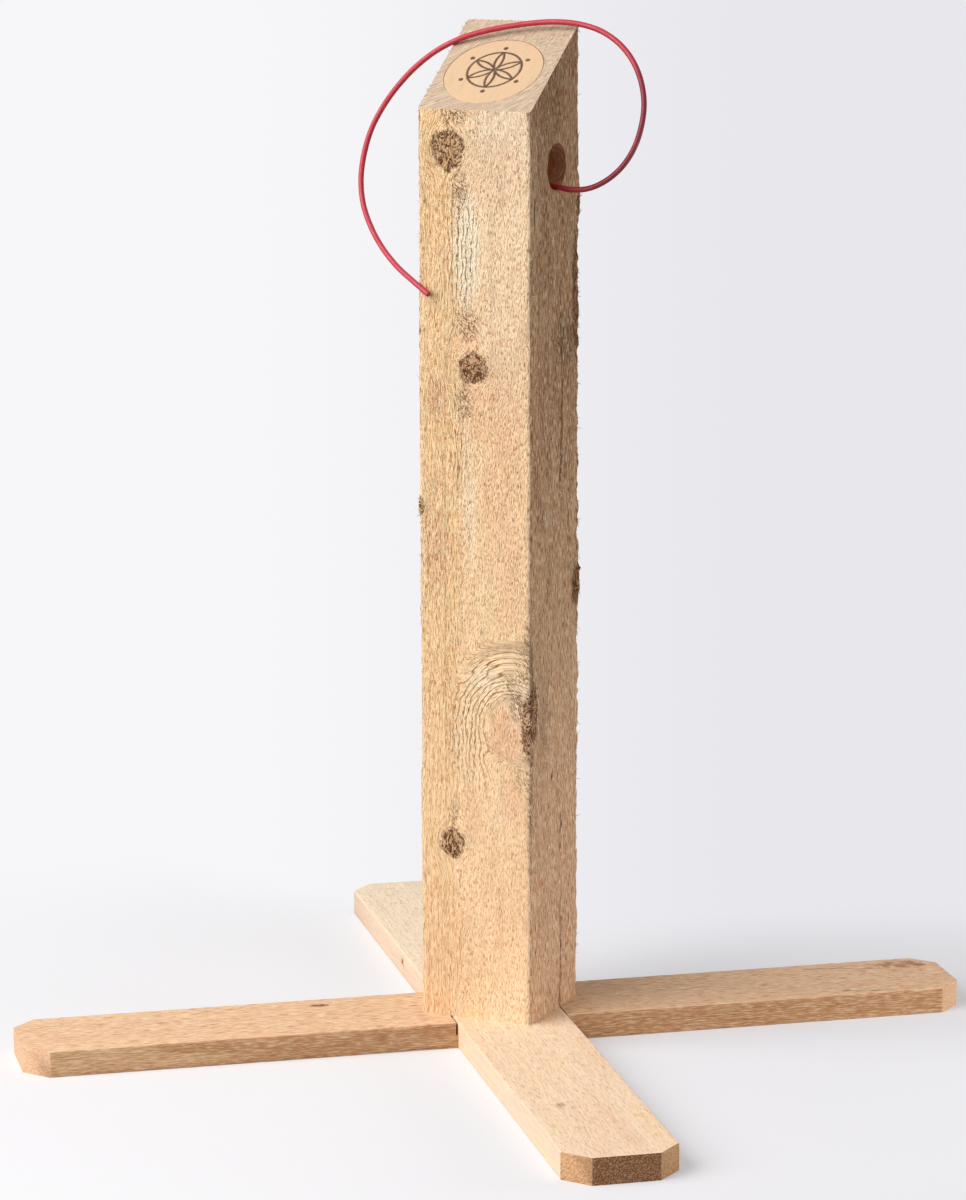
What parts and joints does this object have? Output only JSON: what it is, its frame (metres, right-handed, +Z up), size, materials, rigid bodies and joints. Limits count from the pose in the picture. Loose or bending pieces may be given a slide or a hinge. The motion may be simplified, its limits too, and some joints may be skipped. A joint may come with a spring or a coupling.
{
  "type": "cat scratching post",
  "caption": "Square rough-sawn scratching post with a slanted top and an inlaid round disc, on a half-lapped cross of boards, with a springy play cord that loops out of a side bore.",
  "frame": {"origin": "on the floor, at the middle of the footprint of the cross", "axes": "+Z up along the post, +X along the lower board, +Y along the upper board; the post's low front face looks towards -Y, turned clockwise as seen from above"},
  "size_m": [0.73, 0.73, 0.7668],
  "materials": {
    "sawn_spruce": "rough sawn, bare",
    "planed_spruce": "sawn and lightly planed, bare",
    "disc_wood": "sanded, with a burnt rosette",
    "zinc_steel": "zinc plated",
    "red_cover": "soft satin",
    "spring_steel": "drawn wire"
  },
  "bodies": {
    "cross": {"cross_board_lower": "planed_spruce", "cross_board_upper": "planed_spruce", "washer": "zinc_steel"},
    "turning_post": {"post": "sawn_spruce", "top_disc": "disc_wood", "threaded_insert": "zinc_steel", "bolt": "zinc_steel", "cord_cover": "red_cover", "cord_core": "spring_steel"}
  },
  "joints": [
    {"name": "post_turn", "type": "hinge", "parent": "cross", "child": "turning_post", "pos_m": [0.005, 0.005, 0.02], "axis": [0, 0, 1], "continuous": true}
  ]
}
